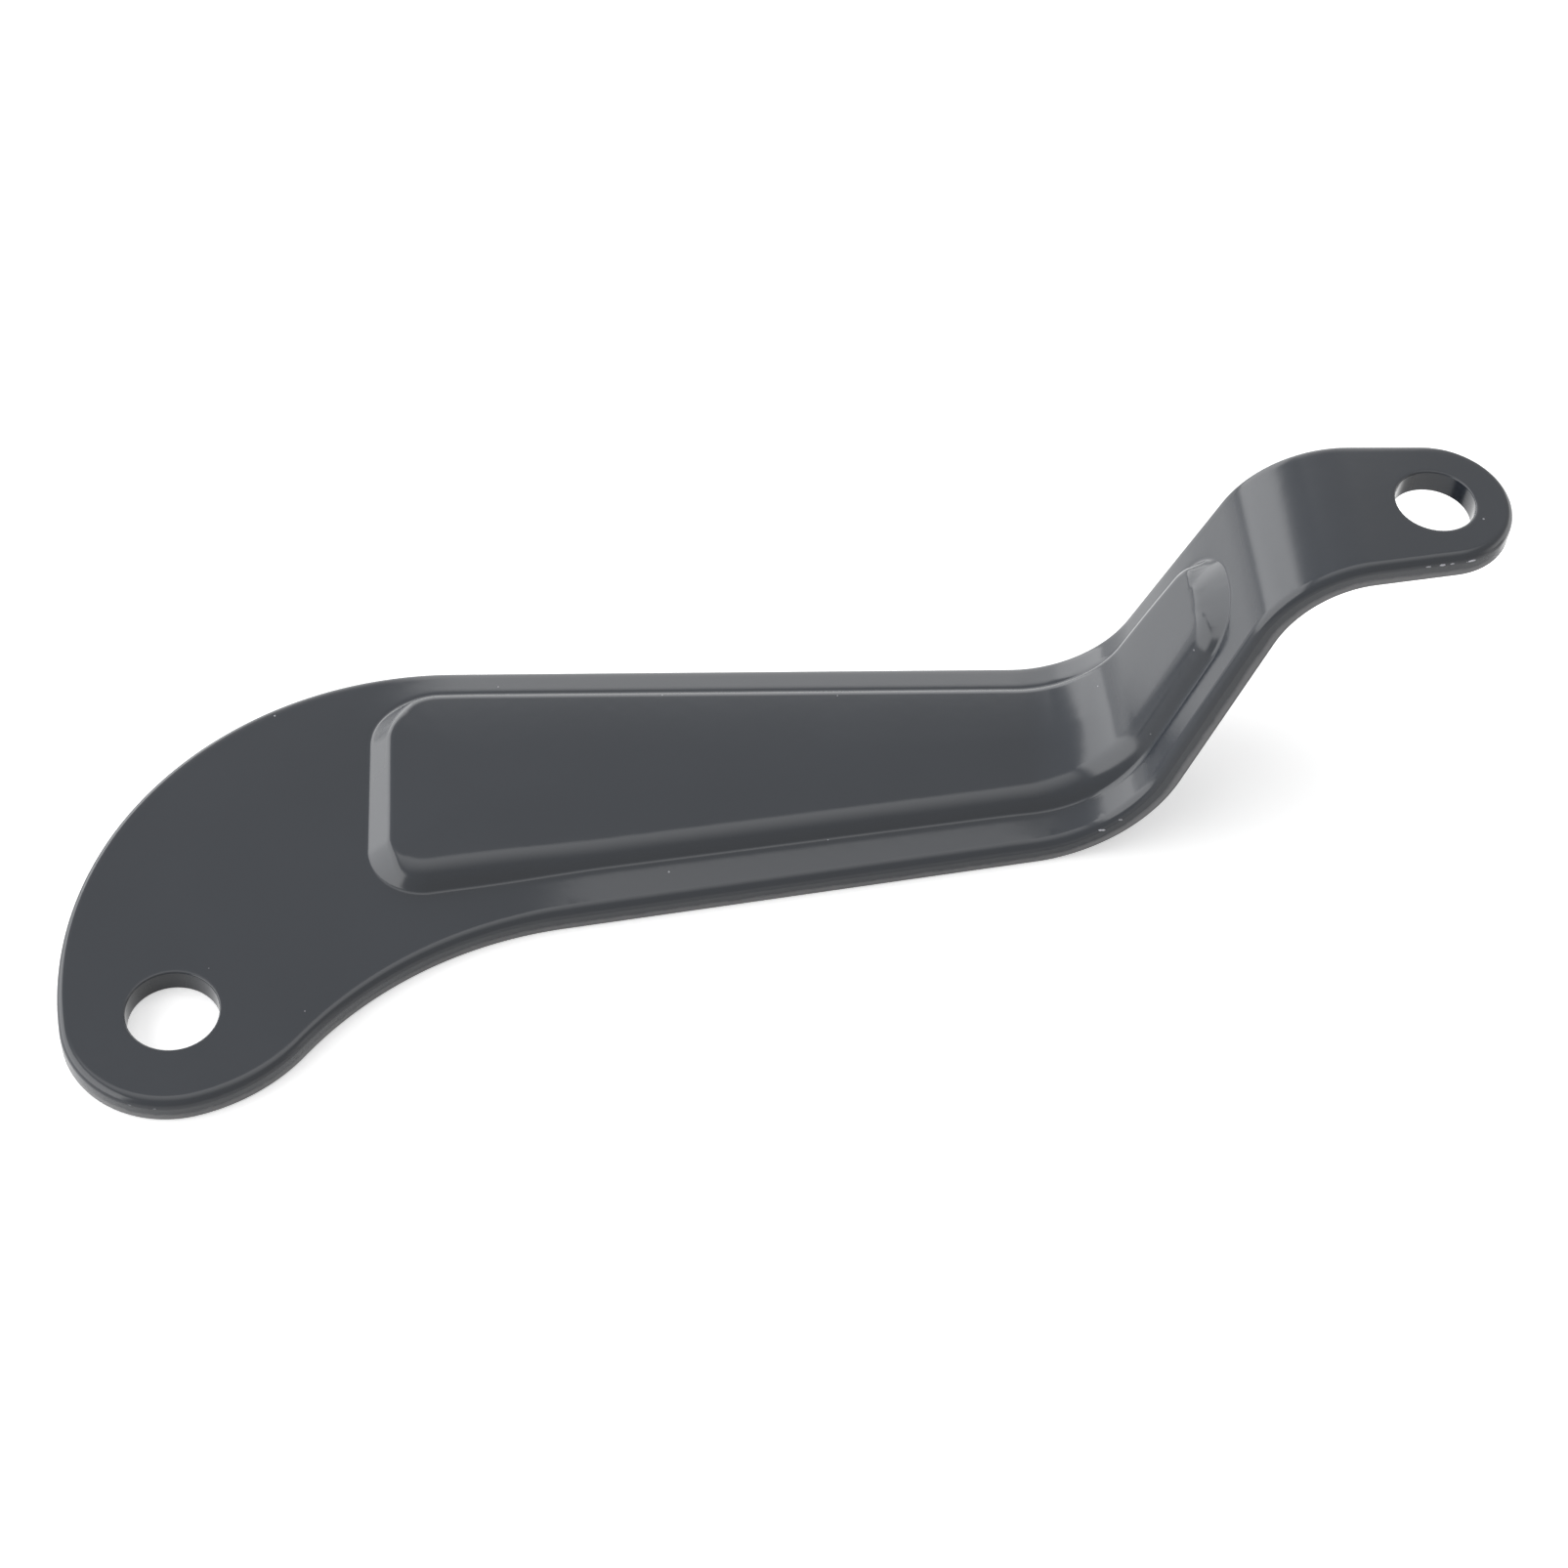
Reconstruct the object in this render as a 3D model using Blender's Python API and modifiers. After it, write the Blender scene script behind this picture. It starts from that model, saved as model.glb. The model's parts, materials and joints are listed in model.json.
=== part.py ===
"""A pressed steel dynamo bracket: a tapered strap with a hole at each end.

The strap is blanked from flat sheet with a large bolting pad at one end and a
small lug at the other. One press stroke raises a long tapered panel that
stiffens it, and folds it up and level again, so that the lug stands above the
pad and parallel to it. Pad and strap lie along +X, the lug end is raised in +Z,
and the origin is below the middle of the bracket, on the surface it rests on.
"""

import math

import bmesh
import bpy
from mathutils import Matrix, Vector
from mathutils.geometry import delaunay_2d_cdt

MM = 0.001

# Sheet
SHEET_THICKNESS = 2.65 * MM
BLANK_ROUNDING = 0.6 * MM  # the outer rim on the upper side, where the blanking punch enters
RIM_ROUNDING = 0.2 * MM  # the outer rim underneath, and both rims of each hole

# Bolting pad, whose pivot hole is the zero of the blank
PIVOT_HOLE_DIAMETER = 9.0 * MM
PAD_END_RADIUS = 10.8 * MM  # round the pivot hole
PAD_BACK_RADIUS = 37.9 * MM  # the long sweep up to the far edge
PAD_BACK_START = math.radians(10.7)  # where the sweep leaves the pad end
HEEL_RADIUS = 18.9 * MM
HEEL_START = math.radians(-74.5)
WAIST_RADIUS = 39.7 * MM  # the hollow between the heel and the near edge
NEAR_EDGE_TAPER = math.radians(8.9)

# Lug
LINK_HOLE_DIAMETER = 8.0 * MM
LUG_RADIUS = 7.8 * MM
LINK_HOLE_X = 124.0 * MM  # from the pivot hole, on the finished bracket
LINK_HOLE_Y = 35.1 * MM

# Folds, with radii at the middle of the sheet
FOLD_ANGLE = math.radians(68.4)
FIRST_FOLD_X = 86.4 * MM  # from the pivot hole to where the first fold begins
FIRST_FOLD_RADIUS = 13.9 * MM
SECOND_FOLD_RADIUS = 11.1 * MM
LUG_RISE = 33.3 * MM

# Raised panel, measured on the blank to the foot of its wall
PANEL_HEIGHT = 2.1 * MM
PANEL_START_X = 18.2 * MM  # from the pivot hole
PANEL_TIP_GAP = 1.4 * MM  # from its tip to the second fold
FAR_FLANGE = 3.05 * MM
NEAR_FLANGE = 3.3 * MM  # beside the lug, from where it widens towards the pad
PANEL_TAPER = math.radians(8.2)
PANEL_TIP_RADIUS = 6.2 * MM
FAR_CORNER_RADIUS = 7.3 * MM
NEAR_CORNER_RADIUS = 5.7 * MM
WALL_ANGLE = math.radians(54.0)
WALL_BEND_RADIUS = 1.75 * MM  # of both bends of the wall, at the middle of the sheet

# Fineness of the mesh
CHORD_ERROR = 0.015 * MM
FOLD_STEPS = 12
WALL_BEND_STEPS = 4
RIM_SEGMENTS = 3
SHARP_ANGLE = math.radians(35.0)
SAME_POINT = 0.0001 * MM
UPPER_CREASE = 1.0  # what the Solidify writes on the rims, to tell them apart
LOWER_CREASE = 0.5

# Paint
PAINT_COLOUR = (0.020, 0.024, 0.031, 1.0)
PAINT_ROUGHNESS = 0.16


def direction(angle):
    return Vector((math.cos(angle), math.sin(angle)))


def arc(centre, radius, start, end, divided_as=None):
    """Points along an arc, both ends included, in the steps of another radius where one is given."""
    step = 2 * math.acos(1 - CHORD_ERROR / (divided_as or radius))
    steps = max(2, math.ceil(abs(end - start) / step))
    return [centre + radius * direction(start + (end - start) * i / steps) for i in range(steps + 1)]


class Fold:
    """The strap seen from the side: two opposite bends joined by a straight slope."""

    def __init__(self):
        self.first_length = FIRST_FOLD_RADIUS * FOLD_ANGLE
        self.second_length = SECOND_FOLD_RADIUS * FOLD_ANGLE
        bends_rise = (FIRST_FOLD_RADIUS + SECOND_FOLD_RADIUS) * (1 - math.cos(FOLD_ANGLE))
        self.slope_length = (LUG_RISE - bends_rise) / math.sin(FOLD_ANGLE)
        self.first_end = FIRST_FOLD_X + self.first_length
        self.second_start = self.first_end + self.slope_length
        self.second_end = self.second_start + self.second_length

    def place(self, length):
        """Where a point of the flat blank comes to lie: its x, its z and the slope of the sheet there."""
        turned = min(max(length - FIRST_FOLD_X, 0), self.first_length) / FIRST_FOLD_RADIUS
        x = min(length, FIRST_FOLD_X) + FIRST_FOLD_RADIUS * math.sin(turned)
        z = FIRST_FOLD_RADIUS * (1 - math.cos(turned))
        straight = min(max(length - self.first_end, 0), self.slope_length)
        x += straight * math.cos(FOLD_ANGLE)
        z += straight * math.sin(FOLD_ANGLE)
        turned_back = min(max(length - self.second_start, 0), self.second_length) / SECOND_FOLD_RADIUS
        slope = turned - turned_back
        x += SECOND_FOLD_RADIUS * (math.sin(FOLD_ANGLE) - math.sin(FOLD_ANGLE - turned_back))
        z += SECOND_FOLD_RADIUS * (math.cos(FOLD_ANGLE - turned_back) - math.cos(FOLD_ANGLE))
        x += max(length - self.second_end, 0)
        return x, z, slope

    def flat_length(self, x):
        """The length along the blank of a point of the level lug."""
        return self.second_end + x - self.place(self.second_end)[0]

    def lines(self):
        """Lines across the blank at which the two bends are divided."""
        bends = ((FIRST_FOLD_X, self.first_length), (self.second_start, self.second_length))
        lengths = [start + length * i / FOLD_STEPS for start, length in bends for i in range(FOLD_STEPS + 1)]
        low, high = -PAD_END_RADIUS, PAD_END_RADIUS + PAD_BACK_RADIUS
        return [[Vector((length, low)), Vector((length, high))] for length in lengths]


FOLD = Fold()
PIVOT_HOLE = Vector((0.0, 0.0))
LINK_HOLE = Vector((FOLD.flat_length(LINK_HOLE_X), LINK_HOLE_Y))
HOLES = ((PIVOT_HOLE, PIVOT_HOLE_DIAMETER / 2), (LINK_HOLE, LINK_HOLE_DIAMETER / 2))


class Edge:
    """A straight edge of the blank or the panel, with the sheet on its left."""

    def __init__(self, point, along):
        self.point = point
        self.along = along
        self.inward = Vector((-along.y, along.x))

    def moved(self, inset):
        return Edge(self.point + self.inward * inset, self.along)

    def meets(self, other):
        gap = other.point - self.point
        across = self.along.cross(other.along)
        return self.point + self.along * (gap.cross(other.along) / across)

    def depth(self, point):
        return (point - self.point).dot(self.inward)

    def outward_angle(self):
        return math.atan2(-self.inward.y, -self.inward.x)


def sweep_centre():
    return (PAD_BACK_RADIUS - PAD_END_RADIUS) * direction(PAD_BACK_START)


def far_edge():
    """The common tangent of the sweep and the lug, travelled towards -X."""
    span = LINK_HOLE - sweep_centre()
    turn = math.acos((PAD_BACK_RADIUS - LUG_RADIUS) / span.length)
    normal = math.atan2(span.y, span.x) + turn
    return Edge(sweep_centre() + PAD_BACK_RADIUS * direction(normal), direction(normal + math.pi / 2))


def near_edge():
    """The tangent under the lug, travelled towards +X."""
    normal = NEAR_EDGE_TAPER - math.pi / 2
    return Edge(LINK_HOLE + LUG_RADIUS * direction(normal), direction(NEAR_EDGE_TAPER))


def blank_outline():
    """The outer edge of the flat blank, anticlockwise."""
    far, near = far_edge(), near_edge()
    heel = (PAD_END_RADIUS - HEEL_RADIUS) * direction(HEEL_START)
    # The waist touches the near edge from below and the heel from outside.
    waist_line = near.moved(-WAIST_RADIUS)
    height = waist_line.depth(heel)
    reach = math.sqrt((HEEL_RADIUS + WAIST_RADIUS) ** 2 - height**2)
    waist = heel - waist_line.inward * height + waist_line.along * reach
    touch = math.atan2((waist - heel).y, (waist - heel).x)
    outline = arc(sweep_centre(), PAD_BACK_RADIUS, far.outward_angle(), math.pi + PAD_BACK_START)
    outline += arc(PIVOT_HOLE, PAD_END_RADIUS, math.pi + PAD_BACK_START, 2 * math.pi + HEEL_START)[1:]
    outline += arc(heel, HEEL_RADIUS, HEEL_START, touch)[1:]
    outline += arc(waist, WAIST_RADIUS, math.pi + touch, math.pi + near.outward_angle())[1:]
    outline += arc(LINK_HOLE, LUG_RADIUS, near.outward_angle(), far.outward_angle())
    return outline


class Panel:
    """The foot of the raised panel on the blank: four edges and four round corners."""

    def __init__(self):
        near = Edge(near_edge().moved(NEAR_FLANGE).point, direction(PANEL_TAPER))
        tip = Edge(Vector((FOLD.second_start - PANEL_TIP_GAP, 0.0)), direction(math.pi / 2))
        far = far_edge().moved(FAR_FLANGE)
        end = Edge(Vector((PANEL_START_X, 0.0)), direction(-math.pi / 2))
        self.edges = (near, tip, far, end)
        radii = (PANEL_TIP_RADIUS, PANEL_TIP_RADIUS, FAR_CORNER_RADIUS, NEAR_CORNER_RADIUS)
        pairs = zip(radii, self.edges, self.edges[1:] + self.edges[:1])
        self.corners = [(first.moved(r).meets(second.moved(r)), r, first, second) for r, first, second in pairs]

    def loop(self, inset):
        """The line that runs a given distance inside the foot."""
        points = []
        for centre, radius, first, second in self.corners:
            start = first.outward_angle()
            turn = math.acos(first.along.dot(second.along))
            points += arc(centre, radius - inset, start, start + turn, radius)
        return points

    def depth(self, point):
        """How far a point lies inside the foot."""
        for centre, radius, first, second in self.corners:
            from_centre = point - centre
            if from_centre.dot(first.inward) < 0 and from_centre.dot(second.inward) < 0:
                return radius - from_centre.length
        return min(edge.depth(point) for edge in self.edges)


class Wall:
    """The section of the panel's wall: up round one bend, straight, and level round another."""

    def __init__(self):
        self.run = WALL_BEND_RADIUS * math.sin(WALL_ANGLE)
        self.lift = WALL_BEND_RADIUS * (1 - math.cos(WALL_ANGLE))
        self.width = 2 * self.run + (PANEL_HEIGHT - 2 * self.lift) / math.tan(WALL_ANGLE)

    def insets(self):
        """Where the loops of the mesh run, from the foot to the level top."""
        turns = [WALL_ANGLE * i / WALL_BEND_STEPS for i in range(WALL_BEND_STEPS + 1)]
        lower = [WALL_BEND_RADIUS * math.sin(turn) for turn in turns]
        return lower + [self.width - inset for inset in reversed(lower)]

    def height(self, inset):
        if inset <= 0:
            return 0.0
        if inset >= self.width:
            return PANEL_HEIGHT
        if inset < self.run:
            return WALL_BEND_RADIUS - math.sqrt(WALL_BEND_RADIUS**2 - inset**2)
        if inset > self.width - self.run:
            left = self.width - inset
            return PANEL_HEIGHT - WALL_BEND_RADIUS + math.sqrt(WALL_BEND_RADIUS**2 - left**2)
        return self.lift + (inset - self.run) * math.tan(WALL_ANGLE)


def in_a_hole(points):
    middle = sum(points, Vector((0, 0))) / len(points)
    return any((middle - centre).length < radius for centre, radius in HOLES)


def flat_mesh(panel, wall):
    """The blank cut into triangles along its outline, its holes, the panel and the fold lines."""
    loops = [blank_outline()]
    loops += [arc(centre, radius, 0, 2 * math.pi)[:-1] for centre, radius in HOLES]
    loops += [panel.loop(inset) for inset in wall.insets()]
    points, edges = [], []
    for loop in loops:
        first = len(points)
        points += loop
        edges += [(first + i, first + (i + 1) % len(loop)) for i in range(len(loop))]
    for line in FOLD.lines():
        edges.append((len(points), len(points) + 1))
        points += line
    inside_constraints = 1
    found, _, faces, *_ = delaunay_2d_cdt(points, edges, [], inside_constraints, SAME_POINT)
    return found, [face for face in faces if not in_a_hole([found[i] for i in face])]


def pressed(point, height):
    """A point of the flat blank after the press stroke, at the middle of the sheet."""
    x, z, slope = FOLD.place(point.x)
    return Vector((x - height * math.sin(slope), point.y, z + height * math.cos(slope)))


def pressed_sheet():
    """The middle surface of the finished bracket, with no thickness yet."""
    panel, wall = Panel(), Wall()
    points, faces = flat_mesh(panel, wall)
    mesh = bpy.data.meshes.new("bracket_plate")
    mesh.from_pydata([pressed(point, wall.height(panel.depth(point))) for point in points], [], faces)
    build = bmesh.new()
    build.from_mesh(mesh)
    bmesh.ops.delete(build, geom=[v for v in build.verts if not v.link_faces], context="VERTS")
    bmesh.ops.recalc_face_normals(build, faces=build.faces)
    if sum(face.normal.z for face in build.faces) < 0:
        bmesh.ops.reverse_faces(build, faces=build.faces)
    build.to_mesh(mesh)
    build.free()
    return mesh


def centred_on_the_ground(mesh):
    """Moves the mesh from the pivot hole's zero to the bracket's own."""
    xs, ys = [v.co.x for v in mesh.vertices], [v.co.y for v in mesh.vertices]
    middle = Vector((min(xs) + max(xs), min(ys) + max(ys), -SHEET_THICKNESS)) / 2
    mesh.transform(Matrix.Translation(-middle))


def thickened(obj):
    """The object's mesh with the thickness of the sheet, half on each side, and creases along its rims."""
    shell = obj.modifiers.new("sheet thickness", "SOLIDIFY")
    shell.thickness = SHEET_THICKNESS
    shell.offset = 0
    shell.use_even_offset = True
    shell.use_quality_normals = True
    shell.edge_crease_outer = UPPER_CREASE
    shell.edge_crease_inner = LOWER_CREASE
    graph = bpy.context.evaluated_depsgraph_get()
    mesh = bpy.data.meshes.new_from_object(obj.evaluated_get(graph))
    obj.modifiers.remove(shell)
    return mesh


def round_a_hole(edge):
    middle = (edge.verts[0].co + edge.verts[1].co) / 2
    return any((middle.xy - pressed(centre, 0).xy).length < radius for centre, radius in HOLES)


def mark_rims(mesh):
    """Weights the creased rims for the Bevel: full on the upper outer one, less on the others."""
    build = bmesh.new()
    build.from_mesh(mesh)
    creases = build.edges.layers.float["crease_edge"]
    weights = build.edges.layers.float.new("bevel_weight_edge")
    for edge in build.edges:
        if edge[creases] == UPPER_CREASE and not round_a_hole(edge):
            edge[weights] = 1.0
        elif edge[creases] > 0:
            edge[weights] = RIM_ROUNDING / BLANK_ROUNDING
    build.edges.layers.float.remove(creases)
    build.to_mesh(mesh)
    build.free()


def paint():
    material = bpy.data.materials.new("black_paint")
    material.diffuse_color = PAINT_COLOUR
    material.use_nodes = True
    shader = material.node_tree.nodes["Principled BSDF"]
    shader.inputs["Base Color"].default_value = PAINT_COLOUR
    shader.inputs["Roughness"].default_value = PAINT_ROUGHNESS
    return material


def make_bracket():
    collection = bpy.data.collections.new("dynamo_bracket")
    bpy.context.scene.collection.children.link(collection)
    bracket = bpy.data.objects.new("bracket_plate", pressed_sheet())
    collection.objects.link(bracket)
    bracket.data = thickened(bracket)
    mark_rims(bracket.data)
    centred_on_the_ground(bracket.data)
    rim = bracket.modifiers.new("rounded rim", "BEVEL")
    rim.limit_method = "WEIGHT"
    rim.width = BLANK_ROUNDING
    rim.segments = RIM_SEGMENTS
    bracket.data.materials.clear()
    bracket.data.materials.append(paint())
    bracket.data.shade_smooth()
    bracket.data.set_sharp_from_angle(angle=SHARP_ANGLE)


for leftover in list(bpy.data.objects):
    bpy.data.objects.remove(leftover, do_unlink=True)
make_bracket()
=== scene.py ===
# %% [markdown]
# A dynamo bracket is one piece of sheet steel. A press cuts its outline, raises a
# long panel in it and folds it up and level again. Its two holes are drilled, and
# last it is painted black. This lesson builds that sheet in Blender in much the
# same order: a flat blank with its holes, the press stroke with the thickness of
# the sheet, the rounded rims, and last the paint and a white studio.
#
# The solid model of the bracket is already packed. It is loaded first, because
# every piece made here has to lie where that solid lies.

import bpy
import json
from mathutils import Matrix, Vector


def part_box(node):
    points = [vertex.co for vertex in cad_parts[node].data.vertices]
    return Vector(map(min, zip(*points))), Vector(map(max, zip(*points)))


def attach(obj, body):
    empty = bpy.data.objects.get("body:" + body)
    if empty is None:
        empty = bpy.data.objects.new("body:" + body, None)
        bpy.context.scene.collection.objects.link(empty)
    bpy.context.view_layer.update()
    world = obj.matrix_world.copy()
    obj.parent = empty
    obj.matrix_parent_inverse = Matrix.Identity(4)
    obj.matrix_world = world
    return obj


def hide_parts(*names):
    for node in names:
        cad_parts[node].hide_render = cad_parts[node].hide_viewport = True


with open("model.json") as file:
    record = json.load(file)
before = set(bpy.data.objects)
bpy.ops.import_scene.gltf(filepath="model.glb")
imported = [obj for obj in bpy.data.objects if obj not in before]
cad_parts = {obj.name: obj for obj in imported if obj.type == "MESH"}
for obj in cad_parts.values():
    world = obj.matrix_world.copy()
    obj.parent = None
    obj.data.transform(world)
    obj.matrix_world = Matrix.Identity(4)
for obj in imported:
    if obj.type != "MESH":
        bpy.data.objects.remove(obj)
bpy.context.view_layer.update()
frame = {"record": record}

# %% [markdown]
# All sizes below are in metres, and MM turns a drawing's millimetres into them.
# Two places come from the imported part, so that nothing is typed twice: the pivot
# hole is the middle of the opening that the record states for it, and the ground
# under the bracket is the lowest point of the solid.

# %% Find the pivot hole and the ground
import json
import math

import bpy
from mathutils import Matrix, Vector
from mathutils.geometry import delaunay_2d_cdt
from mathutils.kdtree import KDTree

MM = 0.001
openings = {opening["name"]: opening["box_m"] for opening in frame["record"]["physics"]["openings"]}
low, high = openings["pivot_hole"]
pivot = Vector(((low[0] + high[0]) / 2, (low[1] + high[1]) / 2))
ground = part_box("bracket_plate")[0].z
print(f"pivot hole at {pivot.x / MM:.2f}, {pivot.y / MM:.2f} mm, ground at {ground / MM:.2f} mm")

# %% [markdown]
# The sheet is 12 gauge steel. Where the punch enters it, the outer rim rolls over
# in a soft curve, broader on the near side of the bracket than on the far side.
# Underneath, the outer rim is nearly square. Both holes are drilled and only
# deburred, so their rims are nearly square too.

# %% Sizes of the sheet and its rims
SHEET_THICKNESS = 2.65 * MM
NEAR_ROUNDING = 0.95 * MM
FAR_ROUNDING = 0.55 * MM
RIM_ROUNDING = 0.2 * MM
print(f"sheet {SHEET_THICKNESS / MM:.2f} mm, rims rounded by {NEAR_ROUNDING / MM} to {RIM_ROUNDING / MM} mm")

# %% [markdown]
# The outline is a chain of arcs and of straight lines that touch them, as a
# toolmaker draws it. A small helper walks along an arc in steps of about half a
# millimetre, which is fine enough for close reflections.

# %% Walk along an arc
STEP = 0.5 * MM


def direction(angle):
    """The unit vector at an angle."""
    return Vector((math.cos(angle), math.sin(angle)))


def arc(centre, radius, start, end, divided_as=None):
    """Points along an arc, both ends included, in the steps of another radius where one is given."""
    steps = max(2, math.ceil(abs(end - start) * (divided_as or radius) / STEP))
    return [centre + radius * direction(start + (end - start) * i / steps) for i in range(steps + 1)]


print("points on a quarter turn of 10 mm:", len(arc(Vector((0, 0)), 10 * MM, 0, math.pi / 2)))

# %% [markdown]
# Seen from the side, the strap makes a joggle: level, up a slope and level again.
# A bend in sheet metal is an arc, so the joggle is two arcs and a straight line.
# The function takes a length along the flat blank and says where that point of
# the sheet comes to lie, and how steep the sheet is there.

# %% Fold the strap
FOLD_ANGLE = math.radians(68.4)
FIRST_FOLD_X = 86.4 * MM
FIRST_FOLD_RADIUS = 13.9 * MM
SECOND_FOLD_RADIUS = 11.1 * MM
LUG_RISE = 33.3 * MM

first_length = FIRST_FOLD_RADIUS * FOLD_ANGLE
second_length = SECOND_FOLD_RADIUS * FOLD_ANGLE
bends_rise = (FIRST_FOLD_RADIUS + SECOND_FOLD_RADIUS) * (1 - math.cos(FOLD_ANGLE))
slope_length = (LUG_RISE - bends_rise) / math.sin(FOLD_ANGLE)
first_end = FIRST_FOLD_X + first_length
second_start = first_end + slope_length
second_end = second_start + second_length


def folded(length):
    """The x, the z and the slope of the sheet at a length along the blank."""
    turned = min(max(length - FIRST_FOLD_X, 0), first_length) / FIRST_FOLD_RADIUS
    straight = min(max(length - first_end, 0), slope_length)
    turned_back = min(max(length - second_start, 0), second_length) / SECOND_FOLD_RADIUS
    slope = turned - turned_back
    x = min(length, FIRST_FOLD_X) + FIRST_FOLD_RADIUS * math.sin(turned) + straight * math.cos(FOLD_ANGLE)
    z = FIRST_FOLD_RADIUS * (1 - math.cos(turned)) + straight * math.sin(FOLD_ANGLE)
    x += SECOND_FOLD_RADIUS * (math.sin(FOLD_ANGLE) - math.sin(FOLD_ANGLE - turned_back))
    z += SECOND_FOLD_RADIUS * (math.cos(FOLD_ANGLE - turned_back) - math.cos(FOLD_ANGLE))
    return x + max(length - second_end, 0), z, slope


print(f"the lug stands {folded(second_end)[1] / MM:.2f} mm above the pad")

# %% [markdown]
# The two holes are the anchors of the drawing. The pivot hole is the zero of the
# blank. The link hole is known on the finished bracket, so its place on the flat
# blank is found by rolling the folds out.

# %% Place the two holes
PIVOT_HOLE_DIAMETER = 9.0 * MM
LINK_HOLE_DIAMETER = 8.0 * MM
LINK_HOLE_X = 124.0 * MM
LINK_HOLE_Y = 35.1 * MM

pivot_hole = Vector((0.0, 0.0))
link_hole = Vector((second_end + LINK_HOLE_X - folded(second_end)[0], LINK_HOLE_Y))
holes = ((pivot_hole, PIVOT_HOLE_DIAMETER / 2), (link_hole, LINK_HOLE_DIAMETER / 2))
print(f"link hole at {link_hole.x / MM:.2f}, {link_hole.y / MM:.2f} mm on the blank")

# %% [markdown]
# Straight edges of the blank and of the panel are lines with the sheet on their
# left. They can be moved inwards, and two of them meet in a corner. The far edge
# of the strap is the line that touches both the big sweep of the pad and the
# lug, and the near edge touches the lug at a small taper.

# %% Straight edges
PAD_END_RADIUS = 10.8 * MM
PAD_BACK_RADIUS = 37.9 * MM
PAD_BACK_START = math.radians(10.7)
NEAR_EDGE_TAPER = math.radians(8.9)
LUG_RADIUS = 7.8 * MM


class Edge:
    """A straight edge with the sheet on its left."""

    def __init__(self, point, along):
        self.point = point
        self.along = along
        self.inward = Vector((-along.y, along.x))

    def moved(self, inset):
        """The same line, moved into the sheet."""
        return Edge(self.point + self.inward * inset, self.along)

    def meets(self, other):
        """The corner that the two lines make."""
        gap = other.point - self.point
        return self.point + self.along * (gap.cross(other.along) / self.along.cross(other.along))

    def depth(self, point):
        """How far inside the line a point lies."""
        return (point - self.point).dot(self.inward)

    def outward_angle(self):
        """The direction straight out of the sheet."""
        return math.atan2(-self.inward.y, -self.inward.x)


sweep = (PAD_BACK_RADIUS - PAD_END_RADIUS) * direction(PAD_BACK_START)
span = link_hole - sweep
far_normal = math.atan2(span.y, span.x) + math.acos((PAD_BACK_RADIUS - LUG_RADIUS) / span.length)
far_edge = Edge(sweep + PAD_BACK_RADIUS * direction(far_normal), direction(far_normal + math.pi / 2))
near_normal = NEAR_EDGE_TAPER - math.pi / 2
near_edge = Edge(link_hole + LUG_RADIUS * direction(near_normal), direction(NEAR_EDGE_TAPER))
leans = [math.degrees(angle) for angle in (far_normal - math.pi / 2, NEAR_EDGE_TAPER)]
print(f"far edge leans {leans[0]:.2f} degrees, near edge {leans[1]:.2f}")

# %% [markdown]
# The whole outline follows from five arcs. Asking for it with an inset gives the
# same line a little inside the rim, because an outer arc shrinks by the inset and
# the hollow of the waist grows by it. That inner line will keep the triangles
# beside the rim clean when the rim is rounded, best with its points straight
# inside those of the rim.

# %% The outline of the blank
HEEL_RADIUS = 18.9 * MM
HEEL_START = math.radians(-74.5)
WAIST_RADIUS = 39.7 * MM

heel = (PAD_END_RADIUS - HEEL_RADIUS) * direction(HEEL_START)
waist_line = near_edge.moved(-WAIST_RADIUS)
heel_depth = waist_line.depth(heel)
waist_reach = math.sqrt((HEEL_RADIUS + WAIST_RADIUS) ** 2 - heel_depth**2)
waist = heel - waist_line.inward * heel_depth + waist_line.along * waist_reach
heel_end = math.atan2((waist - heel).y, (waist - heel).x)


def outline(inset):
    """The outline, anticlockwise, moved inwards by the inset and with as many points as at the rim."""
    sweep_end = math.pi + PAD_BACK_START
    near_angle = near_edge.outward_angle()
    line = arc(sweep, PAD_BACK_RADIUS - inset, far_edge.outward_angle(), sweep_end, PAD_BACK_RADIUS)
    line += arc(pivot_hole, PAD_END_RADIUS - inset, sweep_end, 2 * math.pi + HEEL_START, PAD_END_RADIUS)[1:]
    line += arc(heel, HEEL_RADIUS - inset, HEEL_START, heel_end, HEEL_RADIUS)[1:]
    line += arc(waist, WAIST_RADIUS + inset, math.pi + heel_end, math.pi + near_angle, WAIST_RADIUS)[1:]
    line += arc(link_hole, LUG_RADIUS - inset, near_angle, far_edge.outward_angle(), LUG_RADIUS)
    return line


print("corner points of the outline:", len(outline(0)))

# %% [markdown]
# The raised panel is what makes this bracket stiff. Its foot is a long tapered
# outline with four round corners, and it runs on through the first fold and up
# the slope. Its long sides follow the edges of the strap, so they are drawn from
# them.

# %% The outline of the raised panel
PANEL_START_X = 18.2 * MM
PANEL_TIP_GAP = 1.4 * MM
FAR_FLANGE = 3.05 * MM
NEAR_FLANGE = 3.3 * MM
PANEL_TAPER = math.radians(8.2)
PANEL_TIP_RADIUS = 6.2 * MM
FAR_CORNER_RADIUS = 7.3 * MM
NEAR_CORNER_RADIUS = 5.7 * MM

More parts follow.
